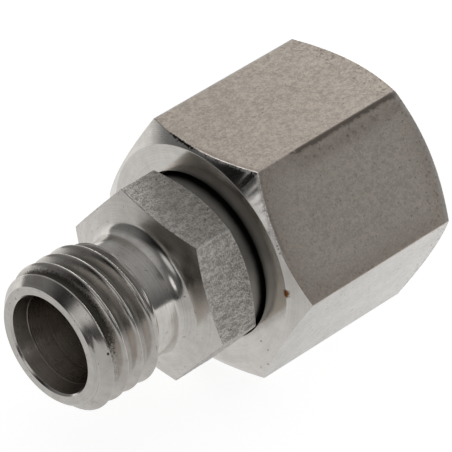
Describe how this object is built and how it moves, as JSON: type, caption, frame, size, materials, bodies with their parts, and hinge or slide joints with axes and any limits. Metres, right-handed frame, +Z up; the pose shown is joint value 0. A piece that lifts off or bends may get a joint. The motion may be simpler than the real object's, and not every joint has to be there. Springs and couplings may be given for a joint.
{
  "type": "reducing coupling",
  "caption": "Straight steel reducing coupling: small male thread with a tapered tube socket, neck and small hexagon, and a larger hexagon nut that turns on the body over a sealing cone.",
  "frame": {"origin": "on the surface that the nut's flat rests on, below the middle of the length", "axes": "+X along the coupling's axis from the small end to the nut, +Z up, away from the flat that it lies on"},
  "size_m": [0.0328, 0.022, 0.019],
  "materials": {
    "body_steel": "turned bright, with a grey rolled hexagon",
    "nut_steel": "satin flats with turned chamfers",
    "spring_steel": "drawn wire",
    "seal_rubber": "smooth moulded"
  },
  "bodies": {
    "coupling_body": {"reducer_body": "body_steel", "seal_ring": "seal_rubber"},
    "nut": {"swivel_nut": "nut_steel", "retaining_ring": "spring_steel"}
  },
  "joints": [
    {"name": "nut_swivel", "type": "hinge", "parent": "coupling_body", "child": "nut", "pos_m": [0.0079, 0, 0.0095], "axis": [1, 0, 0], "continuous": true}
  ]
}
